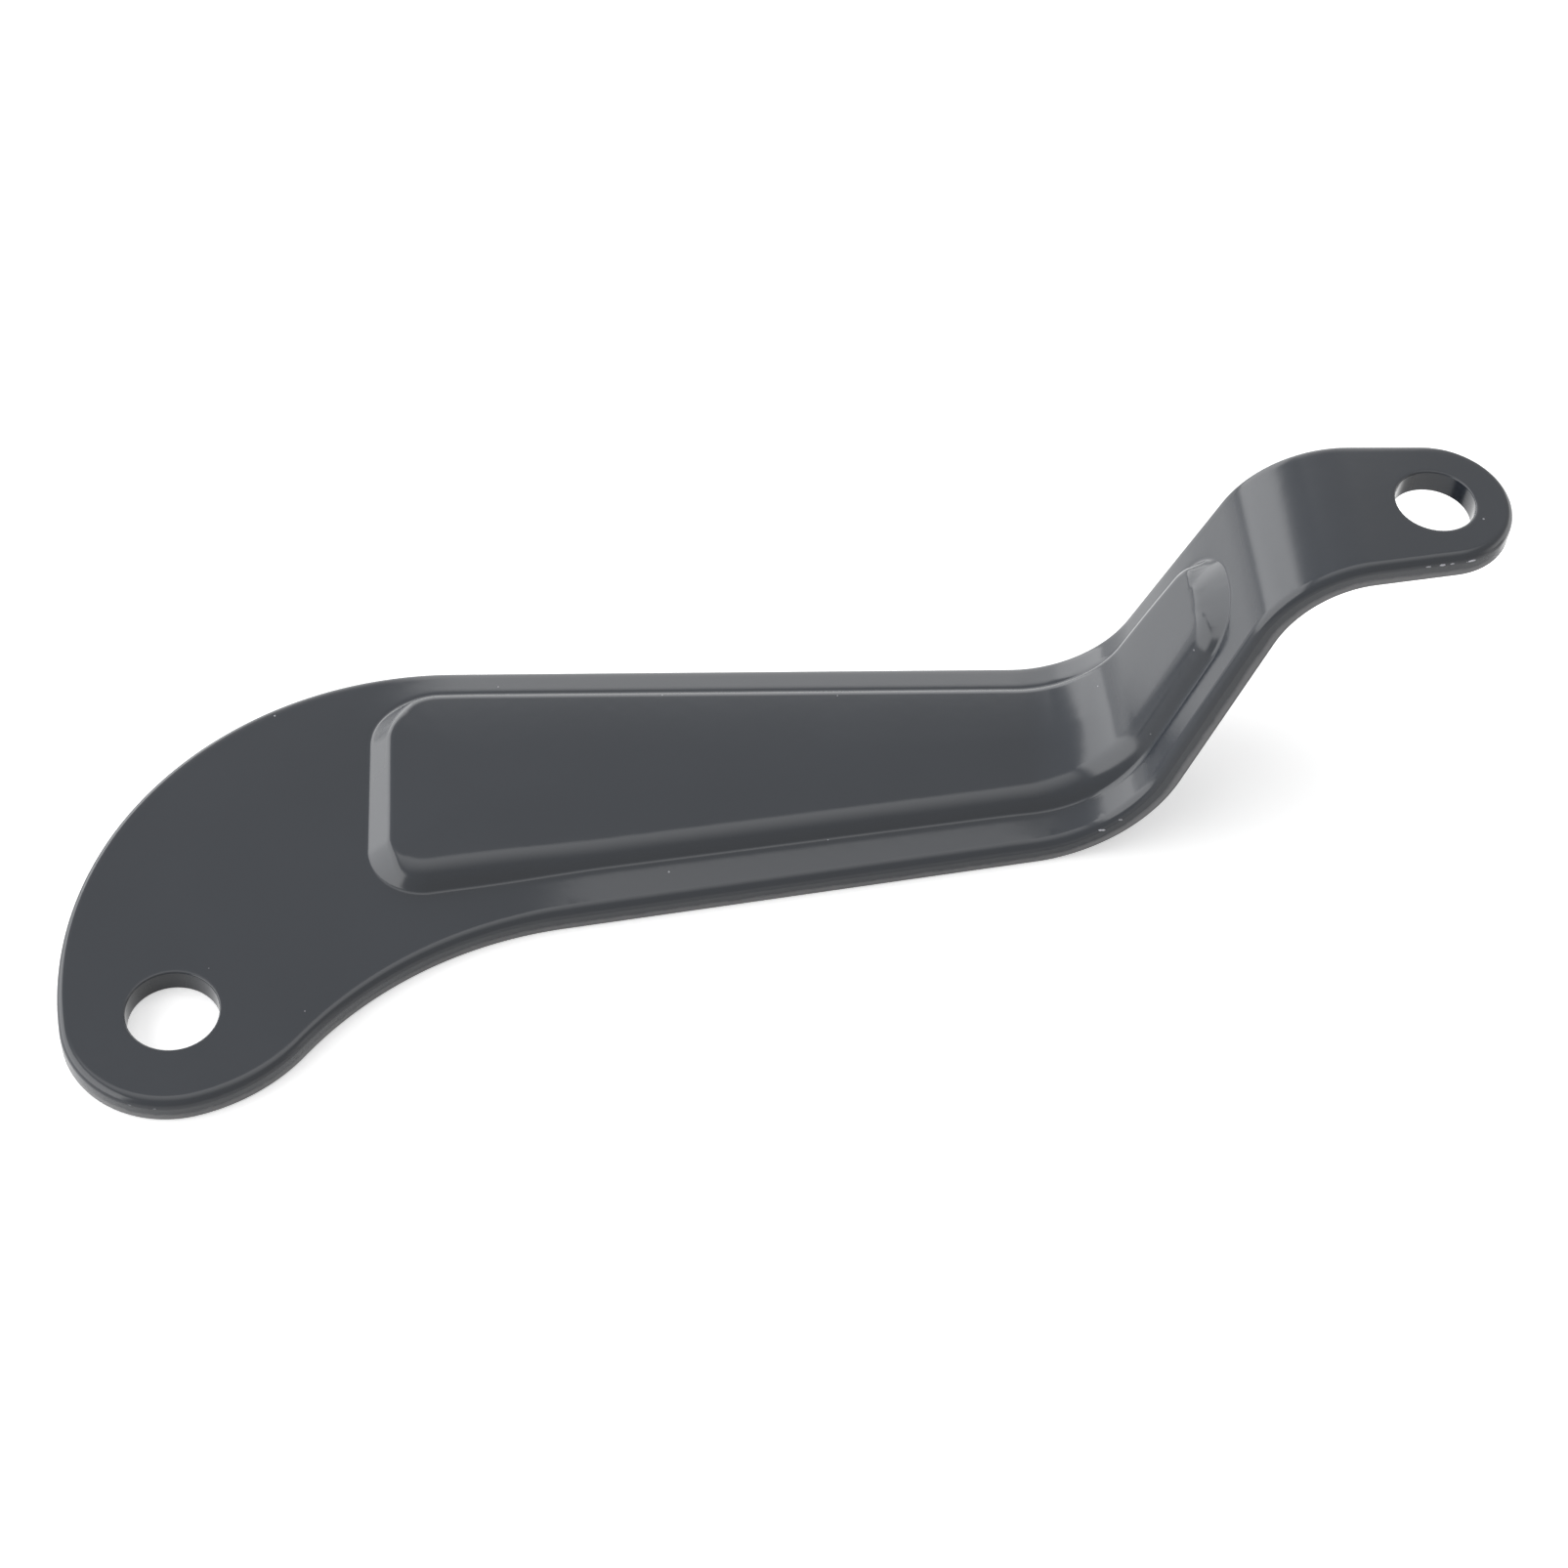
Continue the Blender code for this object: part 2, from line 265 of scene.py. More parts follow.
panel_near = Edge(near_edge.moved(NEAR_FLANGE).point, direction(PANEL_TAPER))
panel_tip = Edge(Vector((second_start - PANEL_TIP_GAP, 0.0)), direction(math.pi / 2))
panel_far = far_edge.moved(FAR_FLANGE)
panel_end = Edge(Vector((PANEL_START_X, 0.0)), direction(-math.pi / 2))
panel_edges = (panel_near, panel_tip, panel_far, panel_end)
panel_radii = (PANEL_TIP_RADIUS, PANEL_TIP_RADIUS, FAR_CORNER_RADIUS, NEAR_CORNER_RADIUS)
panel_corners = [
    (first.moved(radius).meets(second.moved(radius)), radius, first, second)
    for radius, first, second in zip(panel_radii, panel_edges, panel_edges[1:] + panel_edges[:1])
]


def panel_foot():
    """Points along the foot, each with the way that the wall faces there."""
    points = []
    for centre, radius, first, second in panel_corners:
        start = first.outward_angle()
        turn = math.acos(first.along.dot(second.along))
        bend = arc(centre, radius, start, start + turn)
        points += [(point, (point - centre).normalized()) for point in bend]
    return points


def panel_place(point):
    """How far a point lies inside the foot, less than 0 outside it, and the way that the wall faces there."""
    for centre, radius, first, second in panel_corners:
        from_centre = point - centre
        if from_centre.dot(first.inward) < 0 and from_centre.dot(second.inward) < 0:
            return radius - from_centre.length, from_centre.normalized()
    nearest = min(panel_edges, key=lambda edge: edge.depth(point))
    return nearest.depth(point), -nearest.inward


print(f"the panel is {(panel_tip.point.x - PANEL_START_X) / MM:.1f} mm long on the blank")

# %% [markdown]
# The flanges beside the panel aren't quite level. The steel is drawn into the
# panel, so each flange leans down from the foot towards its rim. It is only a few
# degrees, but it decides what the paint mirrors, and so it shows as a bright
# strip along the rim. The lean begins a little way from the pad and fades out
# before the lug. Round the two ends of the panel, the near side's lean passes
# into the far side's over the middle part of its width.

# %% Lean of the flanges
NEAR_LEAN = math.tan(math.radians(6.3))
NEAR_LEAN_START = 29 * MM
NEAR_LEAN_END = 96 * MM
FAR_LEAN = math.tan(math.radians(7.0))
FAR_LEAN_START = 16 * MM
LEAN_FADE = 14 * MM
FLANGE_EASE = 0.9 * MM
MIDDLE_START = 0.3
MIDDLE_END = 0.7


def eased(value, start, end):
    """0 before start, 1 after end and a smooth rise between them."""
    share = min(max((value - start) / (end - start), 0), 1)
    return share * share * (3 - 2 * share)


near_flange = (near_edge, panel_near, NEAR_LEAN, NEAR_LEAN_START, NEAR_LEAN_END)
far_flange = (far_edge, panel_far, FAR_LEAN, FAR_LEAN_START, second_start)


def flange(point, outside, foot_inset):
    """How high the foot stands above the rim beside a point, and how high the flange is there."""
    outside = max(outside, 0)
    fallen = outside**2 / (2 * FLANGE_EASE) if outside < FLANGE_EASE else outside - FLANGE_EASE / 2
    both = []
    for rim, foot, lean, start, end in (near_flange, far_flange):
        lean *= eased(point.x, start, start + LEAN_FADE) * (1 - eased(point.x, end - LEAN_FADE, end))
        rise = lean * (rim.depth(point) - foot.depth(point) + foot_inset - FLANGE_EASE / 2)
        both.append(Vector((rise, max(rise - lean * fallen, 0))))
    across = panel_near.depth(point) / (panel_near.depth(point) + panel_far.depth(point))
    return both[0].lerp(both[1], eased(across, MIDDLE_START, MIDDLE_END))


beside = near_edge.moved(1 * MM).point - near_edge.along * 70 * MM
print(f"the near foot stands {flange(beside, 0, 0)[0] / MM:.2f} mm above its rim")

# %% [markdown]
# The wall has the section that a press gives it: round a tight bend at the foot,
# up a short straight and round the shoulder on to the top. The shoulder is broad
# on the near side and crisp on the far side and at the end beside the pad. That
# end wall leans back more than the sides do, and the one at the tip up the slope
# still more. The top itself is crowned by a hair. A class holds one such section.
# It depends on the way that the wall faces, so that a corner passes smoothly from
# one section to the next.

# %% The section of the wall
PANEL_HEIGHT = 2.1 * MM
FOOT_RADIUS = 0.43 * MM
WALL_ANGLE = math.radians(54.0)
END_WALL_ANGLE = math.radians(41.0)
TIP_WALL_ANGLE = math.radians(29.0)
SHOULDER_RADIUS = 3.07 * MM
CRISP_SHOULDER_RADIUS = 1.2 * MM
FAR_FOOT_INSET = 0.32 * MM
CROWN = 0.16 * MM
CROWN_WIDTH = 8.0 * MM
FOOT_STEPS = 4
STRAIGHT_SHARES = (0.12, 0.88)
SHOULDER_STEPS = 8
FAR_BEGINS = 0.3
ENDS_BEGIN = 0.4
WHOLLY_TURNED = 0.95


class Section:
    """The section of the wall that faces one way, above a foot that stands at a given height."""

    def __init__(self, outward, rise=0.0):
        far = eased(outward.y, FAR_BEGINS, WHOLLY_TURNED)
        end = eased(-outward.x, ENDS_BEGIN, WHOLLY_TURNED)
        tip = eased(outward.x, ENDS_BEGIN, WHOLLY_TURNED)
        self.rise = rise
        self.angle = WALL_ANGLE + (END_WALL_ANGLE - WALL_ANGLE) * end + (TIP_WALL_ANGLE - WALL_ANGLE) * tip
        self.shoulder = SHOULDER_RADIUS + (CRISP_SHOULDER_RADIUS - SHOULDER_RADIUS) * max(far, end)
        self.foot = FAR_FOOT_INSET * far
        self.foot_end = self.foot + FOOT_RADIUS * math.sin(self.angle)
        self.foot_lift = FOOT_RADIUS * (1 - math.cos(self.angle))
        shoulder_lift = self.shoulder * (1 - math.cos(self.angle))
        straight_lift = PANEL_HEIGHT - CROWN - rise - self.foot_lift - shoulder_lift
        self.shoulder_start = self.foot_end + straight_lift / math.tan(self.angle)
        self.top = self.shoulder_start + self.shoulder * math.sin(self.angle)

    def insets(self):
        """Where the lines of the mesh run, from the foot to the end of the shoulder."""
        turns = [self.angle * i / FOOT_STEPS for i in range(FOOT_STEPS + 1)]
        foot = [self.foot + FOOT_RADIUS * math.sin(turn) for turn in turns]
        run = self.shoulder_start - self.foot_end
        straight = [self.foot_end + run * share for share in STRAIGHT_SHARES]
        turns = [self.angle * (1 - i / SHOULDER_STEPS) for i in range(SHOULDER_STEPS + 1)]
        return foot + straight + [self.top - self.shoulder * math.sin(turn) for turn in turns]

    def height(self, inset):
        """How high the section stands at a distance inside the foot line."""
        if inset <= self.foot:
            return self.rise
        if inset < self.foot_end:
            return self.rise + FOOT_RADIUS - math.sqrt(FOOT_RADIUS**2 - (inset - self.foot) ** 2)
        if inset < self.shoulder_start:
            return self.rise + self.foot_lift + (inset - self.foot_end) * math.tan(self.angle)
        if inset < self.top:
            bend = math.sqrt(self.shoulder**2 - (self.top - inset) ** 2)
            return PANEL_HEIGHT - CROWN - self.shoulder + bend
        return PANEL_HEIGHT - CROWN * max(1 - (inset - self.top) / CROWN_WIDTH, 0) ** 2


near_section = Section(Vector((0, -1)))
far_section = Section(Vector((0, 1)))
wall_widths = [round(section.top / MM, 2) for section in (near_section, far_section)]
print("the wall's width on the near and the far side in mm:", wall_widths)

# %% [markdown]
# The underside is a little different. Sheet keeps its thickness round a bend, so
# below the broad shoulder there is a tight one and below the tight foot a broad
# one: the lower side has the near wall's section turned upside down. One function
# gives both heights at any point of the blank, with the fine line that the edge
# of the die leaves along the foot. Towards the narrow tip the crown fades out,
# since walls with different slopes come close together there.

# %% Heights of the two sides
DIE_LINE_PLACE = -0.15 * MM
DIE_LINE_WIDTH = 0.1 * MM
DIE_LINE_DEPTH = 0.010 * MM
WHOLE_LIFT = PANEL_HEIGHT - CROWN
CROWN_FADE_START = 90 * MM
CROWN_FADE_END = 112 * MM


def die_line(inset):
    """How deep the die's line is at a distance inside the foot."""
    return DIE_LINE_DEPTH * math.exp(-(((inset - DIE_LINE_PLACE) / DIE_LINE_WIDTH) ** 2))


def heights(point):
    """How far the press lifts the upper and the lower side at a point of the blank."""
    inset, outward = panel_place(point)
    foot_inset = Section(outward).foot
    rise, beside = flange(point, foot_inset - inset, foot_inset)
    section = Section(outward, rise)
    upper = beside if inset <= section.foot else section.height(inset)
    lower = beside
    if inset > 0:
        turned_over = WHOLE_LIFT - near_section.height(near_section.top - inset)
        lower = rise + (1 - rise / WHOLE_LIFT) * turned_over
    if inset > near_section.top:
        lower = near_section.height(inset)
    flattened = eased(point.x, CROWN_FADE_START, CROWN_FADE_END)
    upper -= flattened * max(upper - WHOLE_LIFT, 0)
    lower -= flattened * max(lower - WHOLE_LIFT, 0)
    return upper - die_line(inset - foot_inset), lower


middle_of_panel = Vector((60 * MM, 26 * MM))
print("heights on the panel in mm:", [round(height / MM, 3) for height in heights(middle_of_panel)])

# %% [markdown]
# The flat blank now has to become a mesh. Where the surface will curve strongly,
# its edges should run along the curve, so the outline, the holes and the wall of
# the panel become closed lines that the triangles must keep. Everywhere else an
# even spread of loose points is enough. A nearest-point search leaves out those
# that would fall too close to a line and make a thin triangle. It also leaves the
# bands beside the rims empty, which the rounding of the rims will need. The
# solid's arcs have longer chords than these, so the outline is kept a hair inside.

# %% Lines and loose points of the blank
GRID = 0.7 * MM
CLEARANCE = 0.6 * MM
RIM_BAND = 1.05 * MM
HOLE_BAND = 0.45 * MM
HAIR = 0.01 * MM
EASE_SHARES = (1.0, 0.7, 0.45)
GRID_WIDTH = second_end + 40 * MM
GRID_DEPTH = PAD_END_RADIUS + PAD_BACK_RADIUS + 20 * MM


def divided(line):
    """A closed line with its long straight runs divided."""
    points = []
    for start, end in zip(line, line[1:] + line[:1]):
        parts = max(1, round((end - start).length / STEP))
        points += [start.lerp(end, i / parts) for i in range(parts)]
    return points


foot_line = []
foot = panel_foot()
for (start, facing), (end, _) in zip(foot, foot[1:] + foot[:1]):
    parts = max(1, round((end - start).length / STEP))
    foot_line += [(start.lerp(end, i / parts), facing) for i in range(parts)]
outside_insets = [-FLANGE_EASE * share for share in EASE_SHARES]
outside_insets += [DIE_LINE_PLACE + DIE_LINE_WIDTH * i for i in (-1, 0, 1)]
wall_insets = []
for point, facing in foot_line:
    section = Section(facing, flange(point, 0, 0)[0])
    wall_insets.append([section.foot + inset for inset in outside_insets] + section.insets())
lines = [divided(outline(inset)) for inset in (HAIR, RIM_BAND)]
for centre, radius in holes:
    lines += [arc(centre, radius + band, 0, 2 * math.pi, radius)[:-1] for band in (0, HOLE_BAND)]
for insets in zip(*wall_insets):
    lines.append([point - facing * inset for (point, facing), inset in zip(foot_line, insets)])
on_lines = [point for line in lines for point in line]
tree = KDTree(len(on_lines))
for i, point in enumerate(on_lines):
    tree.insert(point.to_3d(), i)
tree.balance()
loose = []
for row in range(math.ceil(GRID_DEPTH / GRID)):
    for column in range(math.ceil(GRID_WIDTH / GRID)):
        spot = Vector((column + row % 2 / 2, row)) * GRID - Vector((1, 1)) * PAD_END_RADIUS
        if tree.find(spot.to_3d())[2] > CLEARANCE:
            loose.append(spot)
print(f"{len(lines)} closed lines, {len(on_lines)} points on them and {len(loose)} loose points")

# %% [markdown]
# A Delaunay triangulation joins all these points with triangles as fat as they
# can be and keeps every line whole. The triangles inside a hole are thrown away,
# and so are the points outside the blank, which no triangle uses.

# %% Cut the blank into triangles
INSIDE_THE_LINES = 1
SAME_POINT = 0.0001 * MM


def in_a_hole(corners):
    """Whether the middle of these corners lies in one of the holes."""
    middle = sum(corners, Vector((0, 0))) / len(corners)
    return any((middle - centre).length < radius for centre, radius in holes)


sides = []
first = 0
for line in lines:
    sides += [(first + i, first + (i + 1) % len(line)) for i in range(len(line))]
    first += len(line)
spots, _, triangles, *_ = delaunay_2d_cdt(on_lines + loose, sides, [], INSIDE_THE_LINES, SAME_POINT)
triangles = [triangle for triangle in triangles if not in_a_hole([spots[i] for i in triangle])]
used = sorted({corner for triangle in triangles for corner in triangle})
renumbered = {old: new for new, old in enumerate(used)}
blank = [spots[old] for old in used]
triangles = [[renumbered[corner] for corner in triangle] for triangle in triangles]
print(f"{len(triangles)} triangles with {len(blank)} corners on one side of the sheet")

# %% [markdown]
# Solidify could give one pressed surface its thickness, but then every bend would
# have the same centre on both sides. Here the die and the punch shape the two
# sides differently, so both are pressed from the same triangles, the lower one
# turned over. A side of a triangle that no second triangle shares lies on a rim,
# and there a band of faces joins the two. Round the outline that band was torn
# by the punch, not drilled smooth like the holes, so it takes the second material.

# %% Press both sides and join them at the rims
to_the_frame = Vector((pivot.x, pivot.y, ground + SHEET_THICKNESS / 2))


def pressed(point, height):
    """Where a point of the flat blank comes to lie, at a height above the middle of the sheet."""
    x, z, slope = folded(point.x)
    return to_the_frame + Vector((x - height * math.sin(slope), point.y, z + height * math.cos(slope)))


count = len(blank)
lifts = [heights(point) for point in blank]
half_sheet = SHEET_THICKNESS / 2
upper_side = [pressed(point, upper + half_sheet) for point, (upper, _) in zip(blank, lifts)]
lower_side = [pressed(point, lower - half_sheet) for point, (_, lower) in zip(blank, lifts)]
travelled = {(triangle[i - 1], triangle[i]) for triangle in triangles for i in range(3)}
rims = sorted((start, end) for start, end in travelled if (end, start) not in travelled)
torn = [not in_a_hole([blank[start], blank[end]]) for start, end in rims]
faces = [tuple(triangle) for triangle in triangles]
faces += [tuple(corner + count for corner in reversed(triangle)) for triangle in triangles]
faces += [(start, start + count, end + count, end) for start, end in rims]
sheet = bpy.data.meshes.new("pressed_sheet")
sheet.from_pydata(upper_side + lower_side, [], faces)
sheet.materials.append(bpy.data.materials.new("black_paint"))
sheet.materials.append(bpy.data.materials.new("black_paint_on_cut_edge"))
sheet.polygons.foreach_set("material_index", [0] * 2 * len(triangles) + torn)
bracket = bpy.data.objects.new("painted_bracket", sheet)
bpy.context.scene.collection.objects.link(bracket)
print(f"sheet with {len(sheet.polygons)} faces, of which {len(rims)} round the rims")

# %% [markdown]
# A punched edge has two zones. The upper part is cut and burnished smooth, and
# then the steel tears and leaves a rougher lower part. The mesh carries one
# number for the paint to read: how deep in the sheet a point lies, 0 on the upper
# side and 1 on the lower.

# %% Note the depth in the sheet
depths = [0.0] * count + [1.0] * count
sheet.attributes.new("depth", "FLOAT", "POINT").data.foreach_set("value", depths)
print("points with a depth:", len(depths))

# %% [markdown]
# The Bevel modifier rounds only the edges that carry a weight. A weight of 1
# gets the full rounding, and a smaller weight gets that share of it. Round the
# pad and the lug it changes evenly as the rim turns, because a quicker change
# would push neighbouring faces through each other. The rounding takes the first
# material, because paint lies on it as it does on the faces. It needs no clamping,
# because the empty bands beside the rims are wider than it. The Weighted Normal
# modifier then shades the broad flats as truly flat, so that the rounding is seen
# only where it is.

# %% Round the rims
ROUNDING_SEGMENTS = 6
FLATS_FIRST = 50


def rim_weight(start, end):
    """The share of the full rounding that an edge gets, most on the near side's upper outer rim."""
    if (end, start) in rim_sides:
        start, end = end, start
    elif (start, end) not in rim_sides:
        return 0.0
    corners = [blank[start % count], blank[end % count]]
    if start >= count or in_a_hole(corners):
        return RIM_ROUNDING / NEAR_ROUNDING
    along = (corners[1] - corners[0]).normalized()
    rounding = FAR_ROUNDING + (NEAR_ROUNDING - FAR_ROUNDING) * (1 + along.x) / 2
    return rounding / NEAR_ROUNDING


rim_sides = {(start + side, end + side) for start, end in rims for side in (0, count)}
weights = [rim_weight(*edge.vertices) for edge in sheet.edges]
sheet.attributes.new("bevel_weight_edge", "FLOAT", "EDGE").data.foreach_set("value", weights)
bevel = bracket.modifiers.new("rounded rims", "BEVEL")
bevel.limit_method = "WEIGHT"
bevel.width = NEAR_ROUNDING
bevel.segments = ROUNDING_SEGMENTS
bevel.use_clamp_overlap = False
bevel.material = 0
sheet.shade_smooth()
shading = bracket.modifiers.new("flat flats", "WEIGHTED_NORMAL")
shading.weight = FLATS_FIRST
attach(bracket, "root")
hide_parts("bracket_plate")
print("edges rounded:", sum(weight > 0 for weight in weights))

# %% [markdown]
# The paint needs several effects that more than one material uses, so each is a
# node group: a box with named inputs and outputs that is built once and placed
# wherever it is needed. One helper makes the empty group, and one places a node
# and links its inputs.

# %% Helpers for node groups
def new_group(name, inputs, outputs):
    """An empty shader node group with its two end nodes. Inputs are names with a kind and a value."""
    group = bpy.data.node_groups.new(name, "ShaderNodeTree")
    for socket, (kind, value) in inputs.items():
        group.interface.new_socket(socket, in_out="INPUT", socket_type=kind).default_value = value
    for socket, kind in outputs.items():
        group.interface.new_socket(socket, in_out="OUTPUT", socket_type=kind)
    return group, group.nodes.new("NodeGroupInput"), group.nodes.new("NodeGroupOutput")


def place(tree, kind, settings=None, **sockets):
    """A new node with its settings made and its inputs set or linked, by name or as i and a number."""
    node = tree.nodes.new(kind)
    for setting, value in (settings or {}).items():
        setattr(node, setting, value)
    for name, value in sockets.items():
        key = int(name[1:]) if name[1:].isdigit() else name.replace("_", " ")
        socket = node.inputs[key]
        if isinstance(value, bpy.types.NodeSocket):
            tree.links.new(value, socket)
        else:
            socket.default_value = value
    return node


def maths(tree, operation, first, second=0.0, third=0.0, clamped=False):
    """The result of one Math node."""
    settings = {"operation": operation, "use_clamp": clamped}
    return place(tree, "ShaderNodeMath", settings, i0=first, i1=second, i2=third).outputs[0]


FLOAT, VECTOR = "NodeSocketFloat", "NodeSocketVector"
print("helpers ready")

# %% [markdown]
# Sprayed enamel is never as flat as glass. It dries in low, soft waves that
# painters call orange peel. Two noises, one of the waves and one finer, make the
# height that a Bump node turns into slopes.

# %% Orange peel
def millimetres(tree):
    """The place on the object in millimetres, as texture coordinates."""
    metres = place(tree, "ShaderNodeTexCoord").outputs["Object"]
    return place(tree, "ShaderNodeVectorMath", {"operation": "SCALE"}, i0=metres, Scale=1 / MM).outputs[0]


orange_peel, given, result = new_group(
    "orange_peel", {"Wave length": (FLOAT, 2.0), "Fine share": (FLOAT, 0.25)}, {"Height": FLOAT}
)
where = millimetres(orange_peel)
wave_scale = maths(orange_peel, "DIVIDE", 1.0, given.outputs["Wave length"])
waves = place(orange_peel, "ShaderNodeTexNoise", Vector=where, Scale=wave_scale, Detail=1.0).outputs["Fac"]
fine_scale = maths(orange_peel, "MULTIPLY", wave_scale, 5.0)
fine = place(orange_peel, "ShaderNodeTexNoise", Vector=where, Scale=fine_scale, Detail=2.0).outputs["Fac"]
height = maths(orange_peel, "MULTIPLY_ADD", fine, given.outputs["Fine share"], waves)
orange_peel.links.new(height, result.inputs["Height"])
print("orange peel with", len(orange_peel.nodes), "nodes")

# %% [markdown]
# A few flecks of dust lie on the paint or are caught in it. A Voronoi texture
# fills space with cells, each with one middle point. Near such a point the mask
# is white, and a random colour per cell decides which cells have a fleck at all.

# %% Flecks of dust
flecks, given, result = new_group(
    "flecks", {"Spacing": (FLOAT, 3.0), "Size": (FLOAT, 0.15), "Share": (FLOAT, 0.1)}, {"Mask": FLOAT}
)
cell_scale = maths(flecks, "DIVIDE", 1.0, given.outputs["Spacing"])
cells = place(flecks, "ShaderNodeTexVoronoi", Vector=millimetres(flecks), Scale=cell_scale)
distance = maths(flecks, "MULTIPLY", cells.outputs["Distance"], given.outputs["Spacing"])
near = maths(flecks, "LESS_THAN", distance, given.outputs["Size"])
chance = place(flecks, "ShaderNodeSeparateColor", Color=cells.outputs["Color"]).outputs[0]
chosen = maths(flecks, "LESS_THAN", chance, given.outputs["Share"])
flecks.links.new(maths(flecks, "MULTIPLY", near, chosen), result.inputs["Mask"])
print("flecks with", len(flecks.nodes), "nodes")

# %% [markdown]
# Where the paint has been knocked it comes off in small ragged flakes, longer
# along the rim than across it. One group is one such mark: it measures how far a
# point is from the middle of the mark, stretched to its length and height, and
# lets a noise eat into the edge. It is placed once for every mark.

# %% One mark
def vector_maths(tree, operation, first, **second):
    """One Vector Math node."""
    return place(tree, "ShaderNodeVectorMath", {"operation": operation}, i0=first, **second)


mark_inputs = {
    "Middle": (VECTOR, (0, 0, 0)),
    "Size": (VECTOR, (1, 1, 1)),
    "Grain": (FLOAT, 0.5),
    "Strength": (FLOAT, 1.0),
}
mark, given, result = new_group("mark", mark_inputs, {"Mask": FLOAT})
away = vector_maths(mark, "SUBTRACT", millimetres(mark), i1=given.outputs["Middle"])
away = vector_maths(mark, "DIVIDE", away.outputs[0], i1=given.outputs["Size"])
distance = vector_maths(mark, "LENGTH", away.outputs[0]).outputs["Value"]
eaten = maths(mark, "MULTIPLY_ADD", given.outputs["Grain"], 1.6, distance)
whole = maths(mark, "MULTIPLY", maths(mark, "SUBTRACT", 1.8, eaten), 4.0, clamped=True)
mark.links.new(maths(mark, "MULTIPLY", whole, given.outputs["Strength"]), result.inputs["Mask"])
print("mark with", len(mark.nodes), "nodes")

# %% [markdown]
# Handling has left marks, and each is a spot of the blank, as it was judged:
# the paint is chipped at the rims of the lug and the pad and in the first
# fold, and a few specks of dust were caught in the wet paint. The function that
# pressed the sheet also says where such a spot lies now. A chip is given by its
# place in mm, its length and its strength, a speck by its place.

# %% Places of the marks
CHIP_DEPTH = 0.8 * MM
CHIP_WIDTH = 0.3
CHIP_HEIGHT = 0.11
SPECK_SIZE = 0.08
SPECK_STRENGTH = 0.3
CHIPS = (
    (140.3, 26.86, 0.30, 0.55),
    (141.7, 27.08, 0.45, 0.75),
    (142.7, 27.23, 0.22, 0.55),
    (144.9, 27.60, 0.80, 1.0),
    (93.9, 19.62, 0.40, 0.8),
    (96.1, 19.95, 0.20, 0.45),
    (-10.45, 0.06, 0.25, 0.4),
    (-1.1, -10.78, 0.22, 0.15),
    (-3.45, -10.3, 0.22, 0.15),
)
SPECKS = (
    (48.75, 37.85),
    (67.2, 37.5),
    (31.6, 40.6),
    (64.9, 19.4),
    (98.0, 35.4),
    (104.0, 25.7),
    (100.9, 20.9),
    (114.6, 28.1),
    (3.25, 4.94),
    (12.65, -0.37),
)

marks = []
for x, y, length, strength in CHIPS:
    middle = pressed(Vector((x, y)) * MM, SHEET_THICKNESS / 2 - CHIP_DEPTH)
    marks.append((middle / MM, (length, CHIP_WIDTH, CHIP_HEIGHT), strength))
for x, y in SPECKS:
    spot = Vector((x, y)) * MM
    middle = pressed(spot, heights(spot)[0] + SHEET_THICKNESS / 2)
    marks.append((middle / MM, (SPECK_SIZE, SPECK_SIZE, SPECK_SIZE), SPECK_STRENGTH))
print(f"{len(CHIPS)} chips and {len(SPECKS)} specks")

# %% [markdown]
# The enamel is a blue-black, glossy enough to show the studio as soft shapes.
# Its colour and its gloss vary a little from place to place, dust and chips make
# it paler and duller, and the orange peel bends its reflections. The function
# takes the values that differ from one kind of surface to another.

# %% Paint on the faces of the sheet
PAINT_COLOUR = (0.020, 0.024, 0.031, 1.0)
DUST_COLOUR = (0.30, 0.31, 0.33, 1.0)
BARE_COLOUR = (0.72, 0.72, 0.78, 1.0)
PALEST = 1.18


def mixed(tree, share, first, second):
    """Two colours mixed."""
    return place(tree, "ShaderNodeMix", {"data_type": "RGBA"}, i0=share, i6=first, i7=second).outputs[2]


def marks_on(tree, where):
    """A mask of all the chips and specks."""
    grain = place(tree, "ShaderNodeTexNoise", Vector=where, Scale=3.5, Detail=2.0).outputs["Fac"]
    masks = 0.0
    for middle, size, strength in marks:
        values = {"Middle": middle, "Size": size, "Grain": grain, "Strength": strength}
        one = place(tree, "ShaderNodeGroup", {"node_tree": mark}, **values)
        masks = maths(tree, "MAXIMUM", one.outputs["Mask"], masks)
    return masks


def paint(material, colour, roughness, peel_depth, wave_length):
    """Gives a material the enamel with its dust, its marks and its waves."""
    material.use_nodes = True
    tree = material.node_tree
    shader = tree.nodes["Principled BSDF"]
    where = millimetres(tree)
    drift = place(tree, "ShaderNodeTexNoise", Vector=where, Scale=0.06, Detail=2.0).outputs["Fac"]
    lighter = tuple(PALEST * part for part in colour[:3]) + (1.0,)
    shade = mixed(tree, drift, colour, lighter)
    dusty = place(tree, "ShaderNodeGroup", {"node_tree": flecks}, Spacing=4.0, Size=0.10, Share=0.12)
    dust = dusty.outputs["Mask"]
    bare = marks_on(tree, where)
    dusted = mixed(tree, dust, shade, DUST_COLOUR)
    tree.links.new(mixed(tree, bare, dusted, BARE_COLOUR), shader.inputs["Base Color"])
    duller = maths(tree, "MULTIPLY_ADD", drift, 0.05, roughness - 0.025)
    marked = maths(tree, "MAXIMUM", dust, bare)
    tree.links.new(maths(tree, "MULTIPLY_ADD", marked, 0.3, duller), shader.inputs["Roughness"])
    peel = place(tree, "ShaderNodeGroup", {"node_tree": orange_peel}, Wave_length=wave_length)
    bump = place(tree, "ShaderNodeBump", Height=peel.outputs["Height"], Distance=peel_depth, Strength=1.0)
    tree.links.new(bump.outputs["Normal"], shader.inputs["Normal"])


